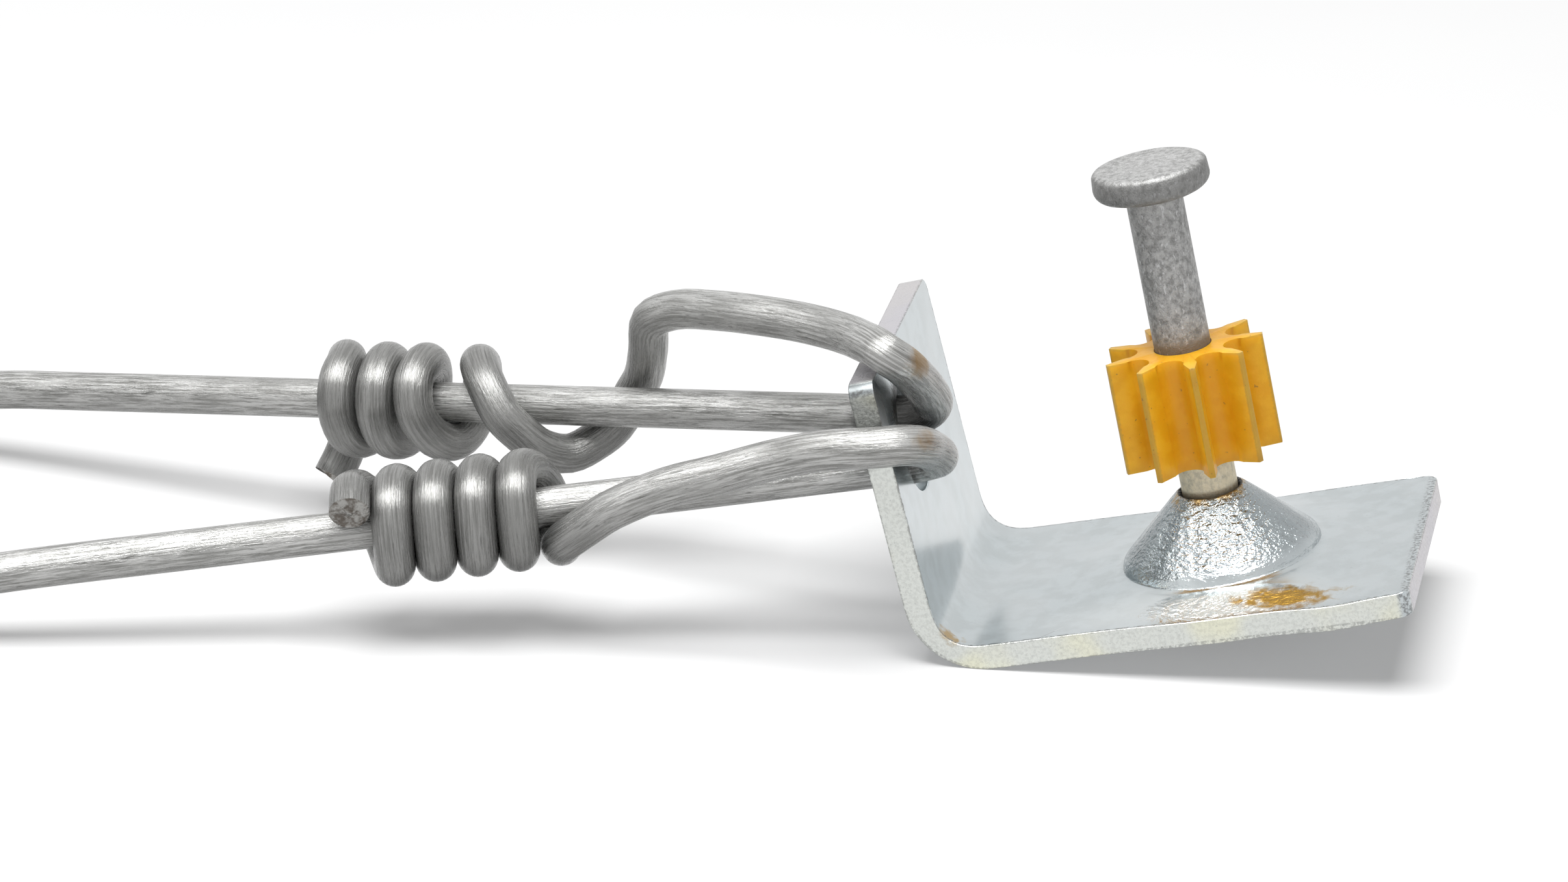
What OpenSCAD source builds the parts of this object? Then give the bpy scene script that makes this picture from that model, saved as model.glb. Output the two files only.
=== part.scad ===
// Ceiling angle clip with a drive pin, its plastic flute and two tied hanger wires.
// Millimetres. The assembly lies on a table: +Z is up, +X runs along the clip towards its free
// end, and the wires leave towards -X. The clip rests on its outer bend and on the pin's point.

/* [Clip] */
// Thickness of the steel strip
strip_t = 1.65; // [1.2:0.05:2]
// Width of the strip
strip_w = 21.6; // [20.6:0.2:26]
// Length of the base, from the outer corner of the bend to the free end
base_l = 32; // [30:0.2:38]
// Height of the leg along its outer face
leg_h = 20.1; // [19.6:0.1:23]
// Angle by which the leg leans outwards from square
leg_lean = 2.8; // [0:0.1:6]
// Outer radius of the bend
bend_r = 5; // [3.5:0.1:6]
// Radius of the rounded corners at the ends of the strip
corner_r = 1; // [0.6:0.1:2]
// Diameter of the wire hole in the leg
hole_d = 7.5; // [7.4:0.1:8]
// Height of the wire hole's centre along the leg
hole_up = 13.9; // [13:0.1:14.4]
// Distance of the wire hole's centre from the middle of the strip
hole_side = -3.2; // [-3.6:0.1:-2.8]

/* [Cone] */
// Distance from the free end of the base to the pin's axis
pin_inset = 13.2; // [11:0.2:15]
// Diameter of the stamped cone at its foot
cone_d = 13.1; // [12:0.1:16]
// Height of the cone's rim above the underside of the base
cone_h = 6.6; // [5.6:0.1:7.6]
// Width of the flat rim round the pin
rim_w = 0.3; // [0.2:0.05:0.6]
// Height of the steep band round the cone's foot
foot_h = 0.75; // [0.4:0.05:1.1]
// Wall of the cone
cone_wall = 1.35; // [1.1:0.05:1.6]

/* [Pin] */
// Length of the drive pin over all
pin_l = 31.75; // [28:0.25:38]
// Diameter of the shank
shank_d = 3.68; // [3.2:0.02:4]
// Diameter of the head
head_d = 7.62; // [7:0.02:8]
// Thickness of the head
head_t = 1.9; // [1.5:0.1:2.4]
// Length of the rounded nose
nose_l = 6; // [4:0.5:6.5]
// How far the point stands out below the base
point_out = 2.95; // [2:0.05:4]
// Radial running clearance between the pin and the clip
pin_fit = 0.04; // [0.02:0.01:0.08]

/* [Flute] */
// Diameter over the fins
flute_d = 10.4; // [9.6:0.1:11.4]
// Length of the flute
flute_l = 7.5; // [6:0.1:8.5]
// Number of fins
fin_count = 9; // [8:1:10]
// Thickness of a fin at its tip
fin_t = 0.4; // [0.3:0.02:0.6]
// Thickness of a fin at its root
fin_root_t = 0.76; // [0.6:0.02:1]
// Wall of the hub
hub_wall = 1.05; // [0.8:0.05:1.3]
// Gap between the cone's rim and the flute
flute_gap = 2.3; // [1.5:0.1:3]
// Radial running clearance between the flute and the pin
flute_fit = 0.05; // [0.02:0.01:0.08]

/* [Wire] */
// Diameter of the wire
wire_d = 2.65; // [2.4:0.05:2.7]
// Gap between two turns that lie side by side
turn_gap = 0.44; // [0.42:0.02:0.5]
// Tight turns in the rear wire's tie
rear_turns = 3; // [2:1:4]
// Tight turns in the front wire's tie
front_turns = 4; // [3:1:4]

/* [Coils] */
// Diameter of a put-away coil at the middle of its turns
coil_d = 32; // [31:0.5:33]
// Turns in each coil
coil_turns = 11; // [9:1:11]

/* [Hidden] */

STEEL = "gainsboro";
PIN_STEEL = "darkgray";
YELLOW = "orange";
WIRE = "silver";

eps = 0.01;
round_n = 96;
arc_steps = 16;
tie_sides = 8;
lead_sides = 8;
coil_sides = 6;
coil_rings = 16;
curve_steps = 2;

wire_r = wire_d / 2;
shank_r = shank_d / 2;
head_r = head_d / 2;
turn_pitch = wire_d + turn_gap;
leg_angle = 90 + leg_lean;

/* Places. The clip's own frame has its origin where the pin's axis meets the underside of the
   base, with the base flat. The clip then leans until its bend and the pin's point both touch
   the table. */
outer_x = pin_inset - base_l;
bend_x = outer_x + bend_r / tan(leg_angle / 2);
leg_up = [cos(leg_angle), 0, sin(leg_angle)];
leg_in = [sin(leg_angle), 0, -cos(leg_angle)];
point_r = 0.18;
prop = [bend_x + point_r, bend_r + point_out];
stand_tilt = atan2(prop.x, prop.y) + acos(bend_r / norm(prop));
stand_x = 27.02;
stand_y = 1.56;
stand_z = point_out * cos(stand_tilt) + point_r * sin(stand_tilt);

function unit(v) = v / norm(v);
function standing(p) = [
    p.x * cos(stand_tilt) - p.z * sin(stand_tilt) + stand_x,
    p.y + stand_y,
    p.x * sin(stand_tilt) + p.z * cos(stand_tilt) + stand_z
];
// A point by its height along the leg, its place across it and its depth from the outer face
function on_leg(up, across, depth) =
    standing([outer_x, across, 0] + leg_up * up + leg_in * depth);

module stand() {
    translate([stand_x, stand_y, stand_z]) rotate([0, -stand_tilt, 0]) children();
}

/* Clip */
function arc(centre, r, from, to) =
    [for (i = [0 : arc_steps]) let (a = from + (to - from) * i / arc_steps)
        centre + r * [cos(a), sin(a)]];

// Side outline of the bent strip
module strip_outline() {
    centre = [bend_x, bend_r];
    up = [leg_up.x, leg_up.z];
    inward = [leg_in.x, leg_in.z];
    top = [outer_x, 0] + up * leg_h;
    outer = arc(centre, bend_r, 270, 90 + leg_angle);
    inner = arc(centre, bend_r - strip_t, 90 + leg_angle, 270);
    polygon(concat([[pin_inset, 0]], outer, [top, top + inward * strip_t], inner,
        [[pin_inset, strip_t]]));
}

// What a rounded corner takes off the end of a strip that lies on z = 0 and ends at x = 0. The
// arc crosses the strip's sides at a slight angle, as a punched corner does, and never grazes them.
module corner_cut(r, thick) {
    linear_extrude(thick) difference() {
        translate([-r, -r]) square([r + 1, r + 1]);
        translate([-r, -r]) circle(r * 1.02, $fn = round_n);
    }
}

// The rounded corners of one end, with r_near on the -Y side and r_far on the +Y side
module end_corners(r_near, r_far) {
    translate([0, 0, -1]) {
        translate([0, strip_w / 2, 0]) corner_cut(r_far, strip_t + 2);
        mirror([0, 1, 0]) translate([0, strip_w / 2, 0]) corner_cut(r_near, strip_t + 2);
    }
}

/* The cone stands on a steep band and rises straight to its rim. Its hollow follows it a wall
   further in. */
cone_r = cone_d / 2;
cone_rim_r = shank_r + pin_fit + rim_w;
shoulder = 0.35;
cone_run = cone_r - shoulder - cone_rim_r;
cone_rise = cone_h - strip_t - foot_h - shoulder;
cone_side = norm([cone_run, cone_rise]);
function cone_height(r) = cone_h - (r - cone_rim_r) * cone_rise / cone_run;
function hollow_height(r) = cone_height(r) - cone_wall * cone_side / cone_run;
hollow_top_r = shank_r + pin_fit + 0.35;
hollow_foot_r = cone_r - cone_wall * 0.8;

module cone_solid() {
    rotate_extrude($fn = round_n) polygon([
        [0, 0], [cone_r, 0], [cone_r, strip_t + foot_h],
        [cone_r - shoulder * 0.3, strip_t + foot_h + shoulder * 0.7],
        [cone_r - shoulder, strip_t + foot_h + shoulder], [cone_rim_r, cone_h], [0, cone_h]
    ]);
}

module cone_hollow() {
    rotate_extrude($fn = round_n) polygon([
        [0, -1], [hollow_foot_r + 0.35, -1], [hollow_foot_r + 0.35, 0], [hollow_foot_r, 0.5],
        [hollow_foot_r, hollow_height(hollow_foot_r)],
        [hollow_top_r, hollow_height(hollow_top_r)], [0, hollow_height(hollow_top_r)]
    ]);
}

module angle_clip() {
    color(STEEL) stand() difference() {
        union() {
            rotate([90, 0, 0]) linear_extrude(strip_w, center = true) strip_outline();
            cone_solid();
        }
        cone_hollow();
        translate([0, 0, -1]) cylinder(r = shank_r + pin_fit, h = cone_h + 2, $fn = round_n);
        translate([pin_inset, 0, 0]) end_corners(corner_r, corner_r);
        translate([outer_x, 0, 0]) rotate([0, -leg_angle, 0]) mirror([0, 0, 1])
            translate([leg_h, 0, 0]) end_corners(corner_r, corner_r);
        translate([outer_x, hole_side, 0] + leg_up * hole_up) rotate([0, 90 - leg_lean, 0])
            translate([0, 0, -1]) cylinder(d = hole_d, h = strip_t + 2, $fn = round_n);
    }
}

/* Pin */
head_z = pin_l - point_out;
head_edge = head_t * 0.38;
neck_r = 0.35;

// Outline of the nose: a circle's arc that leaves the shank smoothly and ends in a blunt point
nose_round = (nose_l * nose_l + shank_r * shank_r) / (2 * shank_r);
function nose_at(up) = max(point_r, shank_r - nose_round + sqrt(nose_round * nose_round
    - pow(nose_l - up, 2)));

module drive_pin() {
    color(PIN_STEEL) stand() translate([0, 0, -point_out]) rotate_extrude($fn = round_n) {
        polygon(concat(
            [[0, 0]],
            [for (i = [0 : arc_steps]) let (up = nose_l * i / arc_steps) [nose_at(up), up]],
            [[shank_r, pin_l - head_t - neck_r], [shank_r + neck_r, pin_l - head_t]],
            arc([head_r - head_edge, pin_l - head_t + head_edge], head_edge, 270, 360),
            arc([head_r - head_edge, pin_l - head_edge], head_edge, 0, 90),
            [[0, pin_l]]
        ));
    }
}

/* Flute */
flute_z = cone_h + flute_gap;
hub_r = shank_r + flute_fit + hub_wall;
half_fin = 180 / fin_count;
valley_w = (2 * hub_r * sin(half_fin) - fin_root_t) / (1 - sin(half_fin));

// One valley between two fins: a broad round root that opens to the fins' thin tips
module valley() {
    root = hub_r + valley_w / 2;
    tip_r = flute_d / 2;
    tip_w = tip_r * sin(half_fin) - fin_t / 2;
    tip_x = tip_r * cos(half_fin);
    flare = (tip_w - valley_w / 2) / (tip_x - root);
    translate([root, 0]) circle(d = valley_w, $fn = 32);
    polygon([
        [root, -valley_w / 2], [tip_x + 1, -tip_w - flare], [tip_x + 1, tip_w + flare],
        [root, valley_w / 2]
    ]);
}

module pin_flute() {
    color(YELLOW) stand() translate([0, 0, flute_z]) difference() {
        cylinder(d = flute_d, h = flute_l, $fn = round_n);
        for (i = [0 : fin_count - 1]) rotate(4 + 180 / fin_count + 360 * i / fin_count)
            translate([0, 0, -1]) linear_extrude(flute_l + 2) valley();
        translate([0, 0, -1]) cylinder(r = shank_r + flute_fit, h = flute_l + 2, $fn = round_n);
    }
}

/* Wires. Each wire is one tube: a strand that runs straight, a loop through the clip, and a tail
   that is wound round the strand. A strand is held as its start, its direction, its upward side
   and its near side. */
function strand(from, to) =
    let (run = unit(to - from), rise = unit([0, 0, 1] - run * run.z))
    [from, run, rise, unit(cross(rise, run))];
// A point beside a strand: how far along it, how far off its centre, and turned from the near side
function beside(s, along, out, turn) =
    s[0] + s[1] * along + out * (cos(turn) * s[3] + sin(turn) * s[2]);

// Smooth curve through points, which may lie unevenly far apart
function blend(a, b, c, d, f) = let (
    u = sqrt(norm(b - a)), v = sqrt(norm(c - b)), w = sqrt(norm(d - c)),
    m = (b - a) * v / u - (c - a) * v / (u + v) + c - b,
    n = c - b - (d - b) * v / (v + w) + (d - c) * v / w
) b + m * f + (3 * (c - b) - 2 * m - n) * f * f + (2 * (b - c) + m + n) * f * f * f;
function curve(p, steps = curve_steps) = let (last = len(p) - 1) [
    for (i = [0 : last - 1], k = [0 : steps - 1]) let (
        a = i == 0 ? 2 * p[0] - p[1] : p[i - 1],
        d = i == last - 1 ? 2 * p[last] - p[i] : p[i + 2]
    ) blend(a, p[i], p[i + 1], d, k / steps),
    p[last]
];

function heading(p, i) = unit(p[min(i + 1, len(p) - 1)] - p[max(i - 1, 0)]);
function squared(v, run) = unit(v - run * (v * run));
// Sideways directions carried along a line without twisting it
function carried(p) = [
    for (i = 0, side = squared([0.1, 0.2, 1], heading(p, 0)); i < len(p);
        i = i + 1, side = squared(side, heading(p, min(i, len(p) - 1)))) side
];

// Round tube along a line, closed at both ends
module tube(p, r, sides) {
    side = carried(p);
    points = [
        for (i = [0 : len(p) - 1], k = [0 : sides - 1])
            let (run = heading(p, i), a = 360 * k / sides)
            p[i] + r * (cos(a) * side[i] + sin(a) * cross(run, side[i]))
    ];
    last = (len(p) - 1) * sides;
    walls = [
        for (i = [0 : len(p) - 2], k = [0 : sides - 1])
            let (a = i * sides + k, b = i * sides + (k + 1) % sides)
            each [[a, a + sides, b], [b, a + sides, b + sides]]
    ];
    caps = [for (k = [1 : sides - 2]) each [[0, k, k + 1], [last, last + k + 1, last + k]]];
    polyhedron(points, concat(walls, caps));
}

// Least gap between parts of a wound tube that are a stated count of points apart
function least_gap(p, apart) = min([
    for (i = [0 : len(p) - 1 - apart], k = [i + apart : len(p) - 1]) norm(p[i] - p[k])
]) - wire_d;
// Least gap between a strand and the tail that is wound round it
function strand_gap(s, tail) = min([for (q = tail) norm(cross(q - s[0], s[1]))]) - wire_d;

// How far the wraps lean: their far half climbs along the strand more than their near half
lean = 0.25;
wrap_pitch = turn_pitch / cos(atan((turn_pitch / (2 * PI) + lean) / turn_pitch));
wrap_r = turn_pitch + 0.05;
// Wraps counted in eighths of a turn from the first one's top, wound up or down in front
function wraps(s, first, eighths, hand, from_turn) = [
    for (i = [0 : eighths]) let (turn = 45 * i) beside(s,
        first + wrap_pitch * turn / 360 + hand * lean * (1 - cos(turn)), wrap_r,
        from_turn + hand * turn)
];

// Rear wire: its strand, the loop over the leg's top edge, one open wrap and the tight wraps
rear_far = [-57.6, 16.5, 5.5];
rear_hole = [hole_up + 0.95, hole_side + 1.25];
rear_strand = strand(on_leg(rear_hole.x, rear_hole.y, strip_t / 2), rear_far);
rear_tight = 34.9;
leg_over = leg_h + wire_r + 0.3;
rear_loop = [
    on_leg(hole_up + 0.85, hole_side + 1.15, strip_t - 0.15),
    on_leg(hole_up + 1.05, hole_side + 0.95, strip_t + 0.95),
    on_leg(hole_up + 1.6, hole_side + 0.55, strip_t + 1.6),
    on_leg(hole_up + 2.9, -3.9, strip_t + 1.75),
    on_leg(leg_over - 2.9, -6.35, strip_t + 1.7),
    on_leg(leg_over - 1.3, -8.5, strip_t + 1.55),
    on_leg(leg_over - 0.4, -9.3, strip_t + 1.1),
    on_leg(leg_over - 0.05, -8.4, strip_t + 0.3),
    on_leg(leg_over, -6.7, 0.8),
    on_leg(leg_over + 0.05, -5.3, -0.2),
    on_leg(leg_over + 0.35, -3.7, -2.0),
    on_leg(leg_over + 0.85, -2.3, -4.4),
    on_leg(leg_over + 1.4, -1.2, -7.1),
    on_leg(leg_over + 1.6, 0.6, -9.9),
    on_leg(leg_over + 1.6, 2.6, -13.2),
    on_leg(leg_over + 1.0, 3.4, -15.2),
    on_leg(leg_over - 1.2, 4.4, -16.2),
    on_leg(leg_over - 3.4, 5.8, -17.4)
];
rear_open = [
    beside(rear_strand, 20.9, wrap_r + 0.1, 180),
    beside(rear_strand, 22.3, wrap_r, 225),
    beside(rear_strand, 24.4, wrap_r + 0.15, 270),
    beside(rear_strand, 26.6, wrap_r, 322),
    beside(rear_strand, 27.9, wrap_r, 363),
    beside(rear_strand, 29.2, wrap_r, 408),
    beside(rear_strand, 30.5, wrap_r, 450),
    beside(rear_strand, 31.4, wrap_r, 495),
    beside(rear_strand, 32.1, wrap_r, 540),
    beside(rear_strand, 32.7, wrap_r, 585),
    beside(rear_strand, 33.35, wrap_r, 630),
    beside(rear_strand, 33.9, wrap_r, 675),
    beside(rear_strand, 34.3, wrap_r, 720),
    beside(rear_strand, 34.6, wrap_r, 765)
];
rear_wraps = wraps(rear_strand, rear_tight, 8 * (rear_turns - 1) + 2, 1, 90);
rear_last = rear_tight + wrap_pitch * (rear_turns - 1);
rear_tie_l = rear_last + 6;
rear_end = [
    beside(rear_strand, rear_last + 1.5, wrap_r + 0.3, 202),
    beside(rear_strand, rear_last + 1.8, wrap_r + 1.1, 221),
    beside(rear_strand, rear_last + 2.25, wrap_r + 2.3, 237),
    beside(rear_strand, rear_last + 2.75, wrap_r + 3.5, 247)
];
rear_line = concat([beside(rear_strand, rear_tie_l, 0, 0)], curve(concat(
    [beside(rear_strand, 6, 0, 0), beside(rear_strand, 1, 0, 0)],
    rear_loop, rear_open, rear_wraps, rear_end)));

// Front wire: its strand, the loop round the leg's near edge and the tight wraps
front_far = [-48.6, -15, 5];
front_hole = [hole_up - 1.5, hole_side - 1.4];
front_strand = strand(on_leg(front_hole.x, front_hole.y, strip_t / 2), front_far);
front_tight = 24.8;
edge_over = -strip_w / 2 - wire_r - 0.4;
front_loop = [
    on_leg(hole_up - 1.57, hole_side - 1.27, strip_t - 0.15),
    on_leg(hole_up - 1.42, hole_side - 1.6, strip_t + 1.15),
    on_leg(hole_up - 0.9, hole_side - 2.85, strip_t + 1.9),
    on_leg(hole_up + 0.5, hole_side - 5.2, strip_t + 1.9),
    on_leg(hole_up + 1.5, edge_over + 1.95, strip_t + 1.8),
    on_leg(hole_up + 2.2, edge_over + 0.5, strip_t + 1.1),
    on_leg(hole_up + 2.5, edge_over, strip_t - 0.3),
    on_leg(hole_up + 2.8, edge_over + 0.4, -2.2),
    on_leg(hole_up + 2.5, edge_over + 1.3, -5.7),
    on_leg(hole_up + 2.2, edge_over + 1.3, -9.4),
    on_leg(hole_up + 2.0, edge_over + 1.2, -13.0)
];
front_open = [
    beside(front_strand, 18.6, wrap_r + 0.1, 8),
    beside(front_strand, 20.1, wrap_r, -14),
    beside(front_strand, 21.4, wrap_r, -45),
    beside(front_strand, 22.3, wrap_r, -90),
    beside(front_strand, 22.95, wrap_r, -135),
    beside(front_strand, 23.6, wrap_r, -180),
    beside(front_strand, 24.3, wrap_r, -225)
];
front_wraps = wraps(front_strand, front_tight, 8 * front_turns, -1, -270);
front_last = front_tight + wrap_pitch * front_turns;
front_tie_l = front_last + 4;
front_end = [
    beside(front_strand, front_last + 0.1, wrap_r + 0.15, 78),
    beside(front_strand, front_last + 0.15, wrap_r + 0.55, 62),
    beside(front_strand, front_last + 0.2, wrap_r + 1.3, 38)
];
front_line = concat([beside(front_strand, front_tie_l, 0, 0)], curve(concat(
    [beside(front_strand, 6, 0, 0), beside(front_strand, 1, 0, 0)],
    front_loop, front_open, front_wraps, front_end)));

/* Coils. Each is wound in four layers that spiral in and out again by turns, and it climbs a
   layer in the half turn where the spiral reverses. The front wire's coil lies on the table and
   the rear wire's on top of it, wound the other way. */
coil_layers = 4;
layer_turns = coil_turns / coil_layers;
coil_out = coil_d / 2 + turn_pitch * layer_turns / 2;
coil_at = [-95, 1];
stack_h = coil_layers * turn_pitch;
function climb(turns) = let (
    layer = floor(turns / layer_turns + 0.5),
    past = turns - layer * layer_turns,
    f = min(max(past / 0.5 + 0.5, 0), 1)
) layer < 1 ? 0 : layer > coil_layers - 1 ? coil_layers - 1 : layer - 1 + f;
function coil_point(side, base, turns) = let (
    layer = min(floor(turns / layer_turns), coil_layers - 1),
    into = turns - layer * layer_turns,
    r = layer % 2 == 0 ? coil_out - turn_pitch * into
        : coil_out - turn_pitch * (layer_turns - into),
    turn = side * (90 + 360 * turns)
) [coil_at.x + r * cos(turn), coil_at.y + r * sin(turn),
    base + wire_r + turn_pitch * climb(turns)];
function coil_line(side, base) = concat(
    [[coil_at.x + wire_d, coil_at.y + side * coil_out, base + wire_r]],
    [for (i = [0 : coil_turns * coil_rings]) coil_point(side, base, i / coil_rings)]
);

rear_coil_line = coil_line(1, stack_h);
front_coil_line = coil_line(-1, 0);

// The leads run from the ties to their coils, by points set by hand: the front one down to the
// table, and the rear one up onto the front wire's coil
rear_lead_line = concat(
    [beside(rear_strand, rear_tie_l, 0, 0)],
    curve([
        beside(rear_strand, rear_tie_l + 4, 0, 0),
        rear_far,
        [-65.8, 18.2, 4.7],
        [-73.4, 19.6, 7.3],
        [-80.6, 20.8, 11.6],
        rear_coil_line[0] + [4, 0, 0]
    ]),
    [rear_coil_line[0]]
);
front_lead_line = concat(
    [beside(front_strand, front_tie_l, 0, 0)],
    curve([
        beside(front_strand, front_tie_l + 4, 0, 0),
        front_far,
        [-55.6, -16.2, 3.9],
        [-66.6, -18.0, 2.3],
        [-77.6, -19.2, 1.5],
        front_coil_line[0] + [4, 0, 0]
    ]),
    [front_coil_line[0]]
);

module rear_wire_tie() {
    color(WIRE) tube(rear_line, wire_r, tie_sides);
}

module rear_wire_lead() {
    color(WIRE) tube(rear_lead_line, wire_r, lead_sides);
}

module rear_wire_coil() {
    color(WIRE) tube(rear_coil_line, wire_r, coil_sides);
}

module front_wire_tie() {
    color(WIRE) tube(front_line, wire_r, tie_sides);
}

module front_wire_lead() {
    color(WIRE) tube(front_lead_line, wire_r, lead_sides);
}

module front_wire_coil() {
    color(WIRE) tube(front_coil_line, wire_r, coil_sides);
}

echo(rear_tie_gap = least_gap(rear_line, 8), front_tie_gap = least_gap(front_line, 8));
echo(rear_strand_gap = strand_gap(rear_strand, concat(rear_open, rear_wraps, rear_end)),
    front_strand_gap = strand_gap(front_strand, concat(front_open, front_wraps, front_end)));
echo(rear_coil_gap = least_gap(rear_coil_line, 6), front_coil_gap = least_gap(front_coil_line, 6));

angle_clip();
drive_pin();
pin_flute();
rear_wire_tie();
rear_wire_lead();
rear_wire_coil();
front_wire_tie();
front_wire_lead();
front_wire_coil();
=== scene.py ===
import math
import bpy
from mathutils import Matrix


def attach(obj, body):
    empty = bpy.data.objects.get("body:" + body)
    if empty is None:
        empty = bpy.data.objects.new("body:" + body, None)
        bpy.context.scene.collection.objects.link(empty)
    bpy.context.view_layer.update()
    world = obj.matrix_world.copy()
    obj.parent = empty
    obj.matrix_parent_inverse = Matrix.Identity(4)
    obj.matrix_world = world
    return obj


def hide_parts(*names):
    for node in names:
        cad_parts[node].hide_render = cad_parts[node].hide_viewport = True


bl_info = {
    "name": "Ceiling Angle Clip",
    "version": (1, 0, 0),
    "blender": (4, 5, 0),
    "location": "View3D > Sidebar > Angle Clip",
    "description": "Builds an angle clip with a drive pin, a finned flute and two tied wires",
    "category": "Add Mesh",
}

import bmesh
import bpy
from bpy.props import FloatProperty, FloatVectorProperty, IntProperty, PointerProperty
from mathutils import Matrix, Vector, noise

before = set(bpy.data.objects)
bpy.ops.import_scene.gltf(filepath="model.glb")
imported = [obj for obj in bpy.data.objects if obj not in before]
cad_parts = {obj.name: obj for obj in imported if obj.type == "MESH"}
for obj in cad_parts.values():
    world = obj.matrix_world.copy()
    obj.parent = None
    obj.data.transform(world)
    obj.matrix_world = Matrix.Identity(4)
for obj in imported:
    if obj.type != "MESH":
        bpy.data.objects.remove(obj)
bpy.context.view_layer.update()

# ---- Sizes ----
# In millimetres. The clip's own frame has its origin where the pin's axis meets the underside
# of the base, +X towards the free end and +Z along the pin. The part's frame is the one in
# which it all lies on the floor.
MM = 0.001
STRIP_T, STRIP_W, BASE_L, LEG_H = 1.65, 21.6, 32.0, 20.1
LEG_LEAN, BEND_R, CORNER_R = 2.8, 5.0, 1.0
HOLE_R, HOLE_UP, HOLE_SIDE = 3.75, 13.9, -3.2
PIN_INSET, CONE_R, CONE_H = 13.2, 6.55, 6.6
PIN_L, SHANK_R, HEAD_R, HEAD_T = 31.75, 1.84, 3.81, 1.9
NOSE_L, POINT_OUT, POINT_R = 6.0, 2.95, 0.18
FLUTE_R, FLUTE_L, FLUTE_Z, HUB_R, FLUTE_BORE_R = 5.2, 7.5, 8.9, 2.94, 1.89
FIN_COUNT, FIN_T, FIN_ROOT_T = 9, 0.4, 0.76
# How far the flute is turned on the pin, in degrees
FLUTE_TURN = 4
WIRE_D = 2.65
WIRE_R = WIRE_D / 2
# From a strand's middle to the middle of the wire wound on it
WRAP_R = WIRE_D + 0.02
# What one turn of a coil takes up, sideways or upwards
TURN_PITCH = 3.09
COIL_D, COIL_TURNS, COIL_LAYERS, COIL_RINGS = 32.0, 11, 4, 32
COIL_AT = (-95.0, 1.0)
STAND_X, STAND_Y = 27.02, 1.56

HALF_W = STRIP_W / 2
LEG_ANGLE = math.radians(90 + LEG_LEAN)
OUTER_X = PIN_INSET - BASE_L
BEND_RISE = BEND_R / math.tan(LEG_ANGLE / 2)
BEND_X = OUTER_X + BEND_RISE
BEND_SWEEP = math.pi - LEG_ANGLE
INNER_R = BEND_R - STRIP_T
BEND_ARC = INNER_R * BEND_SWEEP
LEG_FLAT = LEG_H - BEND_RISE
LEG_UP = Vector((math.cos(LEG_ANGLE), 0, math.sin(LEG_ANGLE)))
LEG_IN = Vector((math.sin(LEG_ANGLE), 0, -math.cos(LEG_ANGLE)))
LAYER_TURNS = COIL_TURNS / COIL_LAYERS
COIL_OUT = COIL_D / 2 + TURN_PITCH * LAYER_TURNS / 2
STACK_H = COIL_LAYERS * TURN_PITCH

PROP = (BEND_X + POINT_R, BEND_R + POINT_OUT)
STAND_TILT = math.atan2(*PROP) + math.acos(BEND_R / math.hypot(*PROP))
STAND_Z = POINT_OUT * math.cos(STAND_TILT) + POINT_R * math.sin(STAND_TILT)
STAND_AT = Vector((STAND_X, STAND_Y, STAND_Z))
# From millimetres in the clip's frame to metres in the part's frame
STAND = (Matrix.Translation(STAND_AT * MM) @ Matrix.Rotation(-STAND_TILT, 4, "Y")
         @ Matrix.Scale(MM, 4))
# From millimetres to metres in the part's frame
TABLE = Matrix.Scale(MM, 4)

# Vertices closer than WELD become one, and edges that turn further than CREASE stay sharp
WELD, CREASE = 0.001, math.radians(50)


def standing(x, y, z):
    """A point of the clip's frame, in the part's frame in millimetres."""
    return STAND @ Vector((x, y, z)) / MM


def on_leg(up, across, depth):
    """A point by its height up the leg, its place across it and its depth under its outer face,
    in the part's frame in millimetres."""
    return standing(*(Vector((OUTER_X, across, 0)) + LEG_UP * up + LEG_IN * depth))


# ---- Mesh helpers ----
def smooth_to(value, low, high):
    """From 0 at low to 1 at high, with soft ends."""
    f = min(max((value - low) / (high - low), 0.0), 1.0)
    return f * f * (3 - 2 * f)


def lerp_table(table, x):
    """Straight lines through (x, y) pairs in rising x."""
    if x <= table[0][0]:
        return table[0][1]
    for (xa, ya), (xb, yb) in zip(table, table[1:]):
        if x <= xb:
            return ya + (yb - ya) * (x - xa) / (xb - xa)
    return table[-1][1]


def ring_edges(bm, row, closed):
    """The edges along a row of vertices."""
    pairs = list(zip(row, row[1:])) + ([(row[-1], row[0])] if closed else [])
    return [bm.edges.get(pair) for pair in pairs]


def grow(bm, row, places, closed=True):
    """Extrudes a row of vertices once and moves the new row to its places."""
    made = bmesh.ops.extrude_edge_only(bm, edges=ring_edges(bm, row, closed))["geom"]
    fresh = {g for g in made if isinstance(g, bmesh.types.BMVert)}
    new_row = []
    for vert, place in zip(row, places):
        new = next(e.other_vert(vert) for e in vert.link_edges if e.other_vert(vert) in fresh)
        new.co = place
        new_row.append(new)
    return new_row


def first_ring(bm, places):
    """A circle of vertices moved to its places."""
    ring = bmesh.ops.create_circle(bm, segments=len(places), radius=1.0)["verts"]
    for vert, place in zip(ring, places):
        vert.co = place
    return ring


def first_row(bm, places):
    """An open chain of vertices."""
    row = [bmesh.ops.create_vert(bm, co=place)["vert"][0] for place in places]
    for pair in zip(row, row[1:]):
        bm.edges.new(pair)
    return row


def close_row(bm, row):
    """One face across a closed row."""
    return bmesh.ops.contextual_create(bm, geom=ring_edges(bm, row, True))["faces"]


def clean(bm):
    """Merges doubles and turns the faces outwards."""
    bmesh.ops.remove_doubles(bm, verts=bm.verts, dist=WELD)
    bmesh.ops.recalc_face_normals(bm, faces=bm.faces)


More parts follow.
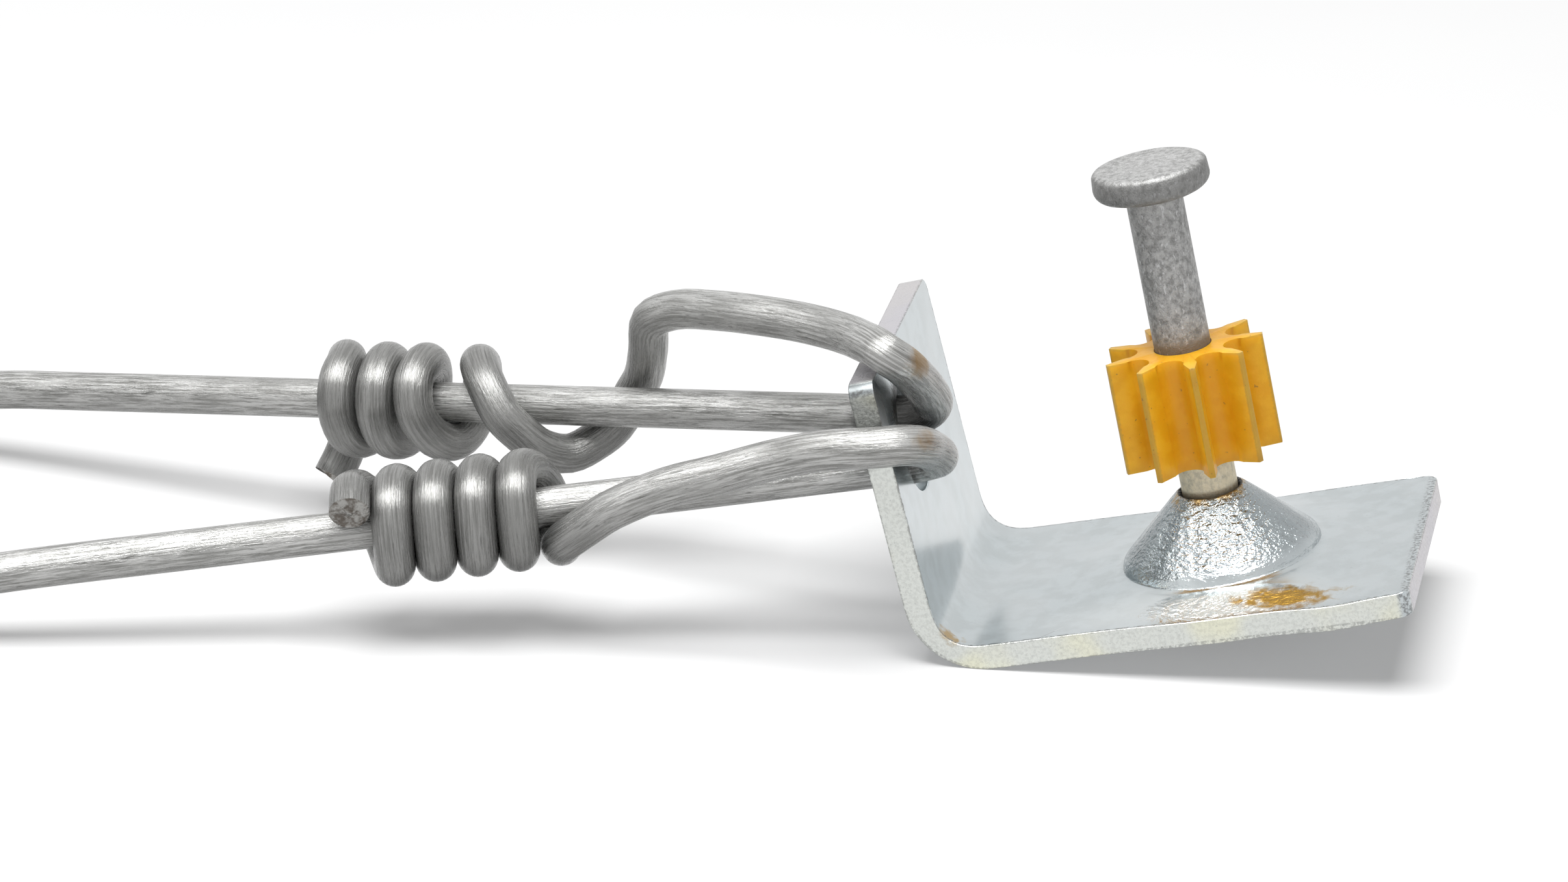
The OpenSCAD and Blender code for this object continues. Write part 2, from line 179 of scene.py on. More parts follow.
def round_edges(bm, edges, radius, segments):
    """Bevels edges round."""
    bmesh.ops.bevel(bm, geom=edges, offset=radius, segments=segments, profile=0.5,
                    affect="EDGES", material=-1, clamp_overlap=True)


def piece_from(bm, name, materials, matrix=None, flat_above=None):
    """Turns a bmesh into a piece at the origin, with its place in its mesh."""
    if matrix is not None:
        bmesh.ops.transform(bm, matrix=matrix, verts=bm.verts)
    bmesh.ops.recalc_face_normals(bm, faces=bm.faces)
    for face in bm.faces:
        face.smooth = True
    if flat_above is not None:
        for edge in bm.edges:
            if edge.is_manifold and edge.calc_face_angle() > flat_above:
                edge.smooth = False
    if not bm.faces:
        raise RuntimeError(f"{name} has no faces")
    mesh = bpy.data.meshes.new(name)
    bm.to_mesh(mesh)
    bm.free()
    for material in materials:
        mesh.materials.append(material)
    piece = bpy.data.objects.new(name, mesh)
    bpy.context.scene.collection.objects.link(piece)
    return piece


# ---- Materials ----
def signs(operation):
    """A sign's two methods: with the tap on its left, and with the tap on its right."""
    return (lambda tap, other: tap.math(operation, tap, other),
            lambda tap, other: tap.math(operation, other, tap))


class Tap:
    """A node's output that can be used in a sum. Each sign adds one Math node."""

    __add__, __radd__ = signs("ADD")
    __sub__, __rsub__ = signs("SUBTRACT")
    __mul__, __rmul__ = signs("MULTIPLY")
    __truediv__, __rtruediv__ = signs("DIVIDE")

    def __init__(self, paint, socket):
        self.paint, self.socket = paint, socket

    def math(self, operation, first, second=0.0):
        return self.paint.add("ShaderNodeMath", {"operation": operation}, {0: first, 1: second})

    def __pow__(self, other):
        return self.math("POWER", self, other)

    def __abs__(self):
        return self.math("ABSOLUTE", self)

    def at_least(self, other):
        return self.math("MAXIMUM", self, other)

    def at_most(self, other):
        return self.math("MINIMUM", self, other)


class Paint:
    """The node tree of a material or a world, and one way to add any node to it."""

    def __init__(self, owner):
        owner.use_nodes = True
        self.material = owner
        self.tree = owner.node_tree
        self.tree.nodes.clear()

    def add(self, kind, settings=None, inputs=None, out=0):
        """Adds a node, sets it up, and gives its sockets their values or links."""
        node = self.tree.nodes.new(kind)
        for key, value in (settings or {}).items():
            setattr(node, key, value)
        for key, value in (inputs or {}).items():
            if isinstance(value, Tap):
                self.tree.links.new(value.socket, node.inputs[key])
            else:
                node.inputs[key].default_value = value
        return Tap(self, node.outputs[out])

    def add_output(self, shader, kind="ShaderNodeOutputMaterial"):
        """Ends the tree with a shader."""
        node = self.tree.nodes.new(kind)
        self.tree.links.new(shader.socket, node.inputs["Surface"])

    def finish(self, **inputs):
        """Ends the tree with a Principled shader. The names of its sockets use _ for a space."""
        self.add_output(self.add("ShaderNodeBsdfPrincipled", inputs={
            name.replace("_", " "): value for name, value in inputs.items()}))
        return self.material

    def place(self):
        """The place in the part's frame, in metres."""
        return self.add("ShaderNodeTexCoord", out="Object")

    def clip_place(self):
        """The place in the clip's own frame, in millimetres."""
        return self.add("ShaderNodeMapping", {"vector_type": "TEXTURE"}, {
            "Vector": self.place(), "Location": STAND_AT * MM, "Rotation": (0, -STAND_TILT, 0),
            "Scale": (MM, MM, MM)})

    def wire_grain(self):
        """The place in the wire as if it were straight, in millimetres, with Z along it."""
        grain = self.add("ShaderNodeAttribute", {"attribute_name": "grain"}, out="Vector")
        return self.stretched(grain, (1 / MM, 1 / MM, 1 / MM))

    def split(self, vector):
        """Its X, Y and Z."""
        node = self.add("ShaderNodeSeparateXYZ", inputs={0: vector}).socket.node
        return [Tap(self, socket) for socket in node.outputs]

    def vectors(self, operation, first, second=(0, 0, 0), out="Vector"):
        """Vector maths, which gives a vector or with out="Value" a number."""
        return self.add("ShaderNodeVectorMath", {"operation": operation},
                        {0: first, 1: second}, out)

    def near(self, vector, place, radii):
        """How far a point is from a place: 0 at it and 1 at the given radii."""
        off = self.vectors("DIVIDE", self.vectors("SUBTRACT", vector, place), radii)
        return self.vectors("LENGTH", off, out="Value")

    def stretched(self, vector, scale):
        return self.add("ShaderNodeMapping", inputs={"Vector": vector, "Scale": scale})

    def noise(self, vector, scale, detail=3.0, rough=0.5, warp=0.0):
        return self.add("ShaderNodeTexNoise", inputs={
            "Vector": vector, "Scale": scale, "Detail": detail, "Roughness": rough,
            "Distortion": warp})

    def fade(self, value, low, high, start=0.0, end=1.0):
        """From start to end as the value goes from low to high, with soft ends."""
        return self.add("ShaderNodeMapRange", {"interpolation_type": "SMOOTHSTEP"}, {
            "Value": value, "From Min": low, "From Max": high, "To Min": start, "To Max": end})

    def mix(self, factor, first, second):
        """Two colours by a factor."""
        first, second = (c if isinstance(c, Tap) else (*c, 1.0) for c in (first, second))
        return self.add("ShaderNodeMix", {"data_type": "RGBA"}, {0: factor, 6: first, 7: second},
                        out=2)

    def coats(self, colour, *coats):
        """Lays coats over a colour in turn, each by a factor and with its own colour."""
        for factor, coat in coats:
            colour = self.mix(factor, colour, coat)
        return colour

    def bump(self, height, strength, distance, normal=None):
        """A bump of the given depth in millimetres, over another one if there is one."""
        inputs = {"Height": height, "Strength": strength, "Distance": distance * MM}
        if normal is not None:
            inputs["Normal"] = normal
        return self.add("ShaderNodeBump", inputs=inputs)


# Marks on the clip, real stains and peening as well as painted highlight and painted shade: the
# place of each kind in clip millimetres, and its reach from there
STAIN_BESIDE_CONE = (5.1, -8.8, STRIP_T), (4.0, 1.7, 1.2)
STAIN_AT_RIM = (0.0, 0.0, CONE_H + 0.1), (2.9, 2.9, 1.5)
STAIN_IN_BEND = (-16.2, -10.2, 2.7), (1.1, 0.9, 1.1)
# The next two lighten the plate before the cone as a painted highlight; the first also marks its
# peening
PEENED_AND_HIGHLIGHT = (1.5, -8.9, STRIP_T), (7.5, 2.3, 1.8)
HIGHLIGHT_BY_CONE = (-0.5, -8.4, STRIP_T), (13.0, 4.6, 3.0)
# Painted shade round the wire hole and at the leg's upper near corner
SHADE_AT_HOLE = (OUTER_X - 0.6, HOLE_SIDE - 0.6, HOLE_UP + 0.9), (3.0, 4.9, 4.6)
SHADE_AT_CORNER = (OUTER_X - 1.0, -HALF_W, 17.5), (3.0, 3.2, 3.4)
# The mouth of the cone round the pin, and how far down the painted shade in it goes
MOUTH_R, MOUTH_DEPTH = 2.2, 1.2


def zinc_paint(look):
    """Bright zinc plate on the strip's faces, and a duller, warmer plate on its punched edges."""
    paint = Paint(bpy.data.materials.new("bright_zinc_plate"))
    place = paint.clip_place()
    x, y, z = paint.split(place)
    broad = paint.noise(place, 0.16, 2.0)
    cloud = paint.noise(place, 0.7, 4.0)
    speck = paint.noise(place, 5.5, 3.0)
    drawn = paint.noise(paint.stretched(place, (0.5, 2.6, 1.0)), 1.6, 4.0)
    nick = paint.noise(paint.stretched(place, (1.6, 1.6, 1.6)), 2.6, 4.0, 0.65)

    # The punched edges: the two long sides, the free end and the leg's top
    side = paint.fade(abs(y), HALF_W - 0.10, HALF_W - 0.01)
    free_end = paint.fade(x, PIN_INSET - 0.10, PIN_INSET - 0.01)
    up = (x - OUTER_X) * LEG_UP.x + z * LEG_UP.z
    leg_top = paint.fade(up, LEG_H - 0.10, LEG_H - 0.01)
    ends = free_end.at_least(leg_top * paint.fade(x, 0.0, -1.0))
    cut = side.at_least(ends)
    faces = 1 - cut

    # Amber staining, in ragged spots
    ragged = (paint.noise(place, 1.1, 4.0, warp=0.6) - 0.5) * 1.5
    beside_cone = paint.fade(paint.near(place, *STAIN_BESIDE_CONE) + ragged, 1.0, 0.45)
    at_rim = paint.fade(paint.near(place, *STAIN_AT_RIM) + ragged, 1.0, 0.6, 0.0, 0.8)
    in_bend = paint.fade(paint.near(place, *STAIN_IN_BEND) + ragged, 1.0, 0.5, 0.0, 0.8)
    stain = beside_cone.at_least(at_rim).at_least(in_bend)

    # The die has peened the cone and the plate before it. The plate there is lightened as a
    # painted highlight, and the cone carries dark bands of painted reflection from its mouth down
    radial = (x * x + y * y) ** 0.5
    on_cone = paint.fade(radial, CONE_R + 0.4, CONE_R - 0.9) * faces
    # Peening, and a painted highlight on the plate before the cone
    peened_and_highlight = paint.fade(paint.near(place, *PEENED_AND_HIGHLIGHT), 1.0, 0.5) * faces
    bright = paint.fade(paint.near(place, *HIGHLIGHT_BY_CONE), 1.0, 0.1) * faces
    out = radial.at_least(0.1)
    round_cone = paint.add("ShaderNodeCombineXYZ", inputs={0: x / out, 1: y / out, 2: z * 0.04})
    # Painted reflection: dark bands round the cone
    reflection_bands = on_cone * paint.fade(paint.noise(round_cone, 2.1, 1.5), 0.36, 0.56, 0.0, 0.85)

    # Dark burrs along the punched edges. depth is how deep a point lies under the outer face:
    # under the base, the leg or the bend between them
    near_side = paint.fade(abs(y), HALF_W - 0.30, HALF_W - 0.16)
    near_end = paint.fade(x, PIN_INSET - 0.75, PIN_INSET - 0.35)
    depth = (x - OUTER_X) * LEG_IN.x + z * LEG_IN.z
    below, behind = (BEND_R - z).at_least(0.0), (BEND_R - depth).at_least(0.0)
    depth = BEND_R - (below * below + behind * behind) ** 0.5
    half = STRIP_T / 2
    border = cut * paint.fade(abs(depth - half), half - 0.15, half - 0.06)
    burr = near_side.at_least(near_end) * (1 - cut * 0.8) * paint.fade(nick, 0.44, 0.60)
    burr = burr.at_least(border * paint.fade(nick, 0.38, 0.58, 0.0, 0.65))

    # Painted shade: black round the wire hole, at the leg's upper corner and in the cone's mouth
    mouth = (paint.fade(radial, MOUTH_R, MOUTH_R - 0.12)
             * paint.fade(z, CONE_H - MOUTH_DEPTH, CONE_H - MOUTH_DEPTH / 2))
    painted_shade = paint.fade(paint.near(place, *SHADE_AT_HOLE) + (nick - 0.5) * 0.5, 1.0, 0.85)
    corner = paint.fade(paint.near(place, *SHADE_AT_CORNER), 1.0, 0.7)
    painted_shade = (painted_shade * paint.fade(cloud, 0.25, 0.6, 0.6, 0.95)).at_least(mouth)
    painted_shade = painted_shade.at_least(corner * paint.fade(nick, 0.3, 0.7, 0.5, 0.62))

    plate = paint.coats(
        look.zinc_shade,
        (paint.fade(cloud, 0.38, 0.62), look.zinc),
        (paint.fade(broad, 0.45, 0.62, 0.0, 0.35), (0.56, 0.59, 0.60)),
        (paint.fade(speck, 0.66, 0.74, 0.0, 0.35), (0.30, 0.32, 0.33)))
    edge = paint.coats(
        (0.66, 0.68, 0.65),
        (paint.fade(broad, 0.42, 0.62), (0.73, 0.73, 0.60)),
        (ends * 0.8, (0.52, 0.50, 0.54)),
        (paint.fade(speck, 0.60, 0.72, 0.0, 0.3), (0.36, 0.37, 0.36)))
    colour = paint.coats(
        plate,
        (cut, edge),
        # Painted highlight: the plate before the cone lightened
        (peened_and_highlight.at_least(bright * 0.75) * 0.8, (0.76, 0.79, 0.79)),
        # Painted reflection on the cone
        (reflection_bands, (0.27, 0.30, 0.31)),
        (stain * 0.97, look.stain),
        (burr * 0.75, (0.15, 0.15, 0.15)),
        # Painted shade round the hole, at the leg's corner and in the cone's mouth
        (painted_shade, (0.035, 0.035, 0.033)))
    rough = (0.20 + (cloud - 0.5) * 0.10 + cut * 0.22 + stain * 0.1 + burr * 0.2 + painted_shade * 0.2
             + peened_and_highlight * 0.20)
    dent = paint.noise(paint.stretched(place, (1.0, 1.0, 1.8)), 1.9, 3.0, 0.55)
    normal = paint.bump(dent * (on_cone + peened_and_highlight), 1.0, 0.27)
    normal = paint.bump(drawn * 0.2 + speck * 0.3, 0.05, 0.05, normal)
    normal = paint.bump(speck * cut, 0.6, 0.10, normal)
    return paint.finish(Base_Color=colour, Metallic=1.0, Roughness=rough, Normal=normal)


def pin_paint(look):
    """Matt mottled grey zinc, with brown dirt where the flute and the cone grip the shank."""
    paint = Paint(bpy.data.materials.new("matt_grey_zinc"))
    place = paint.clip_place()
    x, y, z = paint.split(place)
    patch = paint.noise(paint.stretched(place, (1.0, 1.0, 0.8)), 2.6, 6.0, 0.70)
    fine = paint.noise(place, 9.0, 4.0, 0.6)
    fleck = paint.noise(paint.stretched(place, (1.0, 1.0, 0.45)), 5.0, 2.0)
    # The shank: dirt where it is gripped, and a paler yellow plate between flute and cone
    top_grip = paint.fade(abs(z - (FLUTE_Z + FLUTE_L + 0.2)), 0.75, 0.1)
    low_grip = paint.fade(abs(z - (CONE_H + 0.05)), 0.35, 0.05)
    dirt = top_grip.at_least(low_grip) * paint.fade(patch, 0.35, 0.6, 0.45, 1.0)
    low = paint.fade(z, FLUTE_Z + 0.6, FLUTE_Z - 0.6) * paint.fade(z, 0.0, 1.0)
    top = PIN_L - POINT_OUT
    radial = (x * x + y * y) ** 0.5
    # The head: its dark rim and its lighter crown
    rim = paint.fade(radial, HEAD_R - 0.75, HEAD_R - 0.4) * paint.fade(z, top - 4.8, top - 3.8)
    rim = rim * paint.fade(z, top - 0.05, top - 0.35)
    crown = paint.fade(z, top - 0.10, top - 0.02)
    colour = paint.coats(
        look.zinc_dark,
        (paint.fade(patch, 0.30, 0.64), look.zinc_light),
        (paint.fade(fine, 0.55, 0.70, 0.0, 0.55), (0.15, 0.15, 0.155)),
        (paint.fade(fleck, 0.60, 0.68, 0.0, 0.5), (0.62, 0.62, 0.63)),
        (low * paint.fade(patch, 0.3, 0.6, 0.35, 0.65), (0.82, 0.72, 0.50)),
        (dirt * 0.7, (0.13, 0.085, 0.04)),
        (rim * 0.55, (0.12, 0.12, 0.115)),
        (crown * 0.35, (0.52, 0.52, 0.515)))
    rough = 0.52 + (patch - 0.5) * 0.3 + dirt * 0.1
    normal = paint.bump(patch, 0.5, 0.12, paint.bump(fine, 0.45, 0.07))
    return paint.finish(Base_Color=colour, Metallic=0.85, Roughness=rough, Normal=normal)


def flute_paint(look):
    """Slightly translucent amber plastic with olive, worn fin edges."""
    paint = Paint(bpy.data.materials.new("amber_plastic"))
    place = paint.clip_place()
    x, y, z = paint.split(place)
    radial = (x * x + y * y) ** 0.5
    cloud = paint.noise(place, 0.9, 3.0)
    fine = paint.noise(place, 6.0, 3.0)
    worn = (fine - 0.5) * 0.2
    # Painted shade: the valleys between the fins darker towards the hub
    deep = paint.fade(radial, HUB_R + 1.1, HUB_R + 0.1)
    tip = paint.fade(radial + worn, FLUTE_R - 0.20, FLUTE_R - 0.04)
    top = paint.fade(z + worn, FLUTE_Z + FLUTE_L - 0.22, FLUTE_Z + FLUTE_L - 0.02)
    speck = paint.fade(paint.noise(place, 3.2, 1.0), 0.73, 0.78, 0.0, 0.6)
    colour = paint.coats(
        look.amber,
        (paint.fade(cloud, 0.40, 0.62), (0.79, 0.43, 0.015)),
        # Painted shade in the valleys
        (deep * 0.5, (0.66, 0.29, 0.006)),
        (tip * 0.55, (0.36, 0.25, 0.05)),
        (top * paint.fade(radial, HUB_R + 0.3, FLUTE_R, 0.0, 0.4), (0.42, 0.30, 0.10)),
        (speck, (0.20, 0.12, 0.04)))
    rough = 0.42 + (fine - 0.5) * 0.25
    normal = paint.bump(fine + cloud, 0.2, 0.06)
    return paint.finish(Base_Color=colour, Roughness=rough, Normal=normal, Subsurface_Weight=0.25,
                        Subsurface_Radius=(1.0, 0.45, 0.1), Subsurface_Scale=0.0012,
                        Specular_IOR_Level=0.4)


def wire_paint(look, name, strand, rust):
    """Dull galvanised wire, streaked along its length, with a rust spot where it rubs."""
    paint = Paint(bpy.data.materials.new(name))
    grain = paint.wire_grain()
    streak = paint.noise(paint.stretched(grain, (4.2, 4.2, 0.22)), 1.5, 5.0, 0.7)
    fleck = paint.noise(paint.stretched(grain, (6.0, 6.0, 0.55)), 1.4, 3.0, 0.55)
    patch = paint.noise(paint.stretched(grain, (0.35, 0.35, 0.12)), 1.0, 2.0)
    fine = paint.noise(paint.stretched(grain, (6.0, 6.0, 1.6)), 1.8, 3.0)
    here = paint.place()
    # Painted shade: the tight turns are darker than the strand inside them, as turns wound round
    # it catch less of the light from above
    along = paint.split(here)[0]
    turns = (paint.fade(along, -10.5 * MM, -13.5 * MM)
             * paint.fade(along, -38.0 * MM, -35.5 * MM))
    off = paint.vectors("CROSS_PRODUCT", paint.vectors("SUBTRACT", here, strand.start * MM),
                        strand.run)
    off = paint.vectors("LENGTH", off, out="Value") / MM
    turns = turns * paint.fade(off, WIRE_R + 0.05, WIRE_R + 0.40)
    ragged = (paint.noise(here, 900.0, 3.0) - 0.5) * 0.8
    rusty = paint.fade(paint.near(here, *rust) + ragged, 1.0, 0.4, 0.0, 0.8)
    # Painted shade: the wire is darkened where it lies in the clip's hole
    in_hole = on_leg(HOLE_UP + 0.6, HOLE_SIDE, STRIP_T / 2) * MM
    painted_shade = paint.near(here, in_hole, [3.7 * MM] * 3) + ragged * 0.4
    colour = paint.coats(
        look.zinc_dark,
        (paint.fade(streak, 0.36, 0.62), look.zinc_light),
        (paint.fade(patch, 0.40, 0.65, 0.0, 0.5), (0.29, 0.29, 0.28)),
        (paint.fade(fleck, 0.60, 0.70, 0.0, 0.7), (0.085, 0.085, 0.08)),
        # Painted shade on the tight turns
        (turns * 0.6, (0.13, 0.13, 0.125)),
        (rusty, look.rust),
        # Painted shade in the hole
        (paint.fade(painted_shade, 1.0, 0.7, 0.0, 0.85), (0.04, 0.04, 0.038)))
    rough = 0.27 + (streak - 0.5) * 0.35 + rusty * 0.2 + paint.fade(fleck, 0.60, 0.70, 0.0, 0.15)
    normal = paint.bump(fine, 0.45, 0.05, paint.bump(streak + fleck * 0.5, 0.6, 0.10))
    return paint.finish(Base_Color=colour, Metallic=0.65, Roughness=rough, Normal=normal)


def cut_paint():
    """The rough grey face of a sheared wire end."""
    paint = Paint(bpy.data.materials.new("sheared_wire_end"))
    here = paint.place()
    coarse = paint.noise(here, 1400.0, 3.0, 0.6)
    fine = paint.noise(here, 5000.0, 3.0, 0.6)
    colour = paint.coats(
        (0.13, 0.115, 0.10),
        (paint.fade(coarse, 0.40, 0.62), (0.36, 0.355, 0.34)),
        (paint.fade(fine, 0.62, 0.72, 0.0, 0.3), (0.55, 0.54, 0.53)))
    normal = paint.bump(coarse + fine * 0.5, 0.8, 0.25)
    return paint.finish(Base_Color=colour, Metallic=0.9, Roughness=0.45 + (fine - 0.5) * 0.3,
                        Normal=normal)


# ---- Wires ----
class Strand:
    """A straight run of wire, and places beside it: so far along it, so far out from its middle,
    and turned by so many degrees from its near side over its top."""

    def __init__(self, start, far):
        self.start = start
        self.run = (far - start).normalized()
        up = Vector((0, 0, 1))
        self.rise = (up - self.run * self.run.z).normalized()
        self.near = self.rise.cross(self.run).normalized()

    def beside(self, along, out=0.0, turn=0.0):
        a = math.radians(turn)
        return (self.start + self.run * along
                + (self.near * math.cos(a) + self.rise * math.sin(a)) * out)


def blend_point(a, b, c, d, f):
    """A point between b and c, on a smooth curve through all four."""
    u, v, w = (math.sqrt((q - p).length) for p, q in ((a, b), (b, c), (c, d)))
    m = (b - a) * v / u - (c - a) * v / (u + v) + c - b
    n = c - b - (d - b) * v / (v + w) + (d - c) * v / w
    return b + m * f + (3 * (c - b) - 2 * m - n) * f * f + (2 * (b - c) + m + n) * f ** 3


def curve_through(points, steps):
    """A smooth line through points that may lie unevenly far apart."""
    line = []
    last = len(points) - 1
    for i in range(last):
        a = 2 * points[0] - points[1] if i == 0 else points[i - 1]
        d = 2 * points[last] - points[i] if i == last - 1 else points[i + 2]
        line += [blend_point(a, points[i], points[i + 1], d, k / steps) for k in range(steps)]
    return line + [points[last]]


def tube_frames(line, side):
    """A matrix for each point of a line, carried along it without twist."""
    frames = []
    for i, here in enumerate(line):
        run = (line[min(i + 1, len(line) - 1)] - line[max(i - 1, 0)]).normalized()
        side = (side - run * side.dot(run)).normalized()
        other = run.cross(side)
        frames.append(Matrix((side, other, run)).transposed().to_4x4())
        frames[-1].translation = here
    return frames


def wire_tube(name, line, side, sides, materials, along_sign, cut_end):
    """A round tube along a line in millimetres, closed at both ends. Its grain attribute
    holds the place in the straightened wire, which a knot and its run count in opposite
    directions. cut_end slants the last face."""
    bm = bmesh.new()
    grain = bm.verts.layers.float_vector.new("grain")
    frames = tube_frames(line, side)
    angles = [2 * math.pi * k / sides for k in range(sides)]
    spots = [Vector((math.cos(a), math.sin(a), 0)) * WIRE_R for a in angles]

    def mark(row, size, distance):
        for vert, spot in zip(row, spots):
            vert[grain] = Vector((spot.x * size, along_sign * spot.y * size,
                                  along_sign * distance)) * MM

    row = first_ring(bm, [frames[0] @ p for p in spots])
    close_row(bm, row)
    mark(row, 1.0, 0.0)
    distance = 0.0
    for i in range(1, len(frames)):
        distance += (line[i] - line[i - 1]).length
        row = grow(bm, row, [frames[i] @ p for p in spots])
        mark(row, 1.0, distance)
    sides_made = set(bm.faces)
    # The end face: a narrow broken edge, then rings towards the middle with a sheared slant
    for size, drop in ((0.93, 0.07), (0.72, 0.10), (0.42, 0.05), (0.16, 0.08)):
        places = []
        for p in spots:
            bite = noise.noise(Vector((p.x, p.y, size)) * 1.9 + Vector(line[-1])) * 0.18
            places.append(frames[-1] @ Vector((p.x * size, p.y * size,
                                               drop + bite * (1 - size) + cut_end * p.x * size)))
        row = grow(bm, row, places)
        mark(row, size, distance)
    close_row(bm, row)
    for face in bm.faces:
        if face not in sides_made:
            face.material_index = 1
    return piece_from(bm, name, materials, TABLE, flat_above=CREASE)


def wound(start, count, pitch, lean, first, way):
    """Places along tight wraps, which advance by pitch a turn and lean to and fro. They start at
    the angle first, and way is 1 or -1 for the way they turn."""
    return [(start + pitch * turn / 360 + lean * (1 - math.cos(math.radians(turn))), WRAP_R,
             first + way * turn) for turn in range(0, 360 * count + 1, 45)]


# How far along its strand each wire's tight wraps start
REAR_WRAPS, FRONT_WRAPS = 34.9, 24.7


def rear_path(strand):
    """The rear wire's line from its hole: over the leg's top edge, back to the strand, one open
    wrap, three tight ones and the sheared stub."""
    over, t, r = LEG_H + WIRE_R + 0.3, STRIP_T, WRAP_R
    loop = [on_leg(*p) for p in (
        (HOLE_UP + 0.85, HOLE_SIDE + 1.15, t - 0.15),
        (HOLE_UP + 1.05, HOLE_SIDE + 0.95, t + 0.95), (HOLE_UP + 1.6, HOLE_SIDE + 0.55, t + 1.6),
        (HOLE_UP + 2.9, -3.9, t + 1.75), (over - 2.9, -6.35, t + 1.7),
        (over - 1.3, -8.5, t + 1.55), (over - 0.4, -9.3, t + 1.1), (over - 0.05, -8.4, t + 0.3),
        (over, -6.7, 0.8), (over + 0.05, -5.3, -0.2), (over + 0.35, -3.7, -2.0),
        (over + 0.85, -2.3, -4.4), (over + 1.4, -1.2, -7.1), (over + 1.6, 0.6, -9.9),
        (over + 1.6, 2.6, -13.2), (over + 1.0, 3.4, -15.2), (over - 1.2, 4.4, -16.2),
        (over - 3.4, 5.8, -17.4))]
    opening = ((20.9, r + 0.3, 180), (22.0, r, 225), (23.15, 2.95, 249), (24.5, 3.25, 276),
               (25.8, 3.0, 306), (26.9, r, 335), (27.8, r, 360), (29.2, r, 405), (30.6, r, 450),
               (31.5, r, 495), (32.2, r, 540), (32.7, r, 585), (33.1, r, 630), (33.7, r, 675),
               (34.4, r, 720), (34.75, r, 765))
    wraps = wound(REAR_WRAPS, 2, 2.93, 0.38, 90, 1)
    stub = ((41.9, r + 0.15, 1575), (42.3, r + 0.3, 1620), (42.55, 3.6, 1655), (43.05, 4.8, 1683),
            (43.7, 6.0, 1700))
    return loop + [strand.beside(*p) for p in (*opening, *wraps, *stub)]


def front_path(strand):
    """The front wire's line from its hole: round the leg's near edge, back to the strand, four
    tight wraps and the sheared stub."""
    over, t, r = -HALF_W - WIRE_R - 0.4, STRIP_T, WRAP_R
    loop = [on_leg(*p) for p in (
        (HOLE_UP - 1.57, HOLE_SIDE - 1.27, t - 0.15), (HOLE_UP - 1.42, HOLE_SIDE - 1.6, t + 1.15),
        (HOLE_UP - 0.9, HOLE_SIDE - 2.85, t + 1.9), (HOLE_UP + 0.5, HOLE_SIDE - 5.2, t + 1.9),
        (HOLE_UP + 1.5, over + 1.95, t + 1.8), (HOLE_UP + 2.2, over + 0.5, t + 1.1),
        (HOLE_UP + 2.5, over, t - 0.3), (HOLE_UP + 2.8, over + 0.4, -2.2),
        (HOLE_UP + 2.5, over + 1.3, -5.7), (HOLE_UP + 2.2, over + 1.3, -9.4),
        (HOLE_UP + 2.0, over + 1.2, -13.0))]
    opening = ((19.0, r + 0.1, 6), (20.7, r, -14), (22.1, r, -36), (22.6, r, -90),
               (22.85, r, -135), (23.1, r, -180), (23.9, r, -225))
    wraps = wound(FRONT_WRAPS, 4, 2.69, -0.33, -270, -1)
    stub = ((35.5, r + 0.75, -1738), (35.6, 4.0, -1763))
    return loop + [strand.beside(*p) for p in (*opening, *wraps, *stub)]


def coil_point(side, base, turns):
    """A point of a put-away coil that spirals in and out by turns and climbs at each reversal."""
    layer = min(math.floor(turns / LAYER_TURNS), COIL_LAYERS - 1)
    into = turns - layer * LAYER_TURNS
    r = COIL_OUT - TURN_PITCH * (into if layer % 2 == 0 else LAYER_TURNS - into)
    near = math.floor(turns / LAYER_TURNS + 0.5)
    past = min(max((turns - near * LAYER_TURNS) / 0.5 + 0.5, 0.0), 1.0)
    climb = 0 if near < 1 else COIL_LAYERS - 1 if near > COIL_LAYERS - 1 else near - 1 + past
    a = side * (math.pi / 2 + 2 * math.pi * turns)
    return Vector((COIL_AT[0] + r * math.cos(a), COIL_AT[1] + r * math.sin(a),
                   base + WIRE_R + TURN_PITCH * climb))


def run_path(strand, tie_end, far, hand_points, side, base):
    """The free wire's line: away from the knot by the given points, and into its coil."""
    coil = [Vector((COIL_AT[0] + WIRE_D, COIL_AT[1] + side * COIL_OUT, base + WIRE_R))]
    coil += [coil_point(side, base, i / COIL_RINGS) for i in range(COIL_TURNS * COIL_RINGS + 1)]
    lead = curve_through([strand.beside(tie_end + 4), far, *hand_points,
                          coil[0] + Vector((4, 0, 0))], 6)
    return [strand.beside(tie_end), *lead, *coil]


def line_length(line):
    """Its length, from point to point."""
    return sum((b - a).length for a, b in zip(line, line[1:]))


# ---- Settings ----
class WireSettings(bpy.types.PropertyGroup):
    sides: IntProperty(name="Sides", description="Facets round the wire", default=28, min=8,
                       max=64)
    zinc_light: FloatVectorProperty(name="Light zinc", description="Colour of the bright streaks",
                                    default=(0.54, 0.54, 0.53), subtype="COLOR", min=0, max=1)
    zinc_dark: FloatVectorProperty(name="Dark zinc", description="Colour of the dull streaks",
                                   default=(0.215, 0.215, 0.205), subtype="COLOR", min=0, max=1)
    rust: FloatVectorProperty(name="Rust", description="Colour of the rubbed spots",
                              default=(0.25, 0.145, 0.035), subtype="COLOR", min=0, max=1)


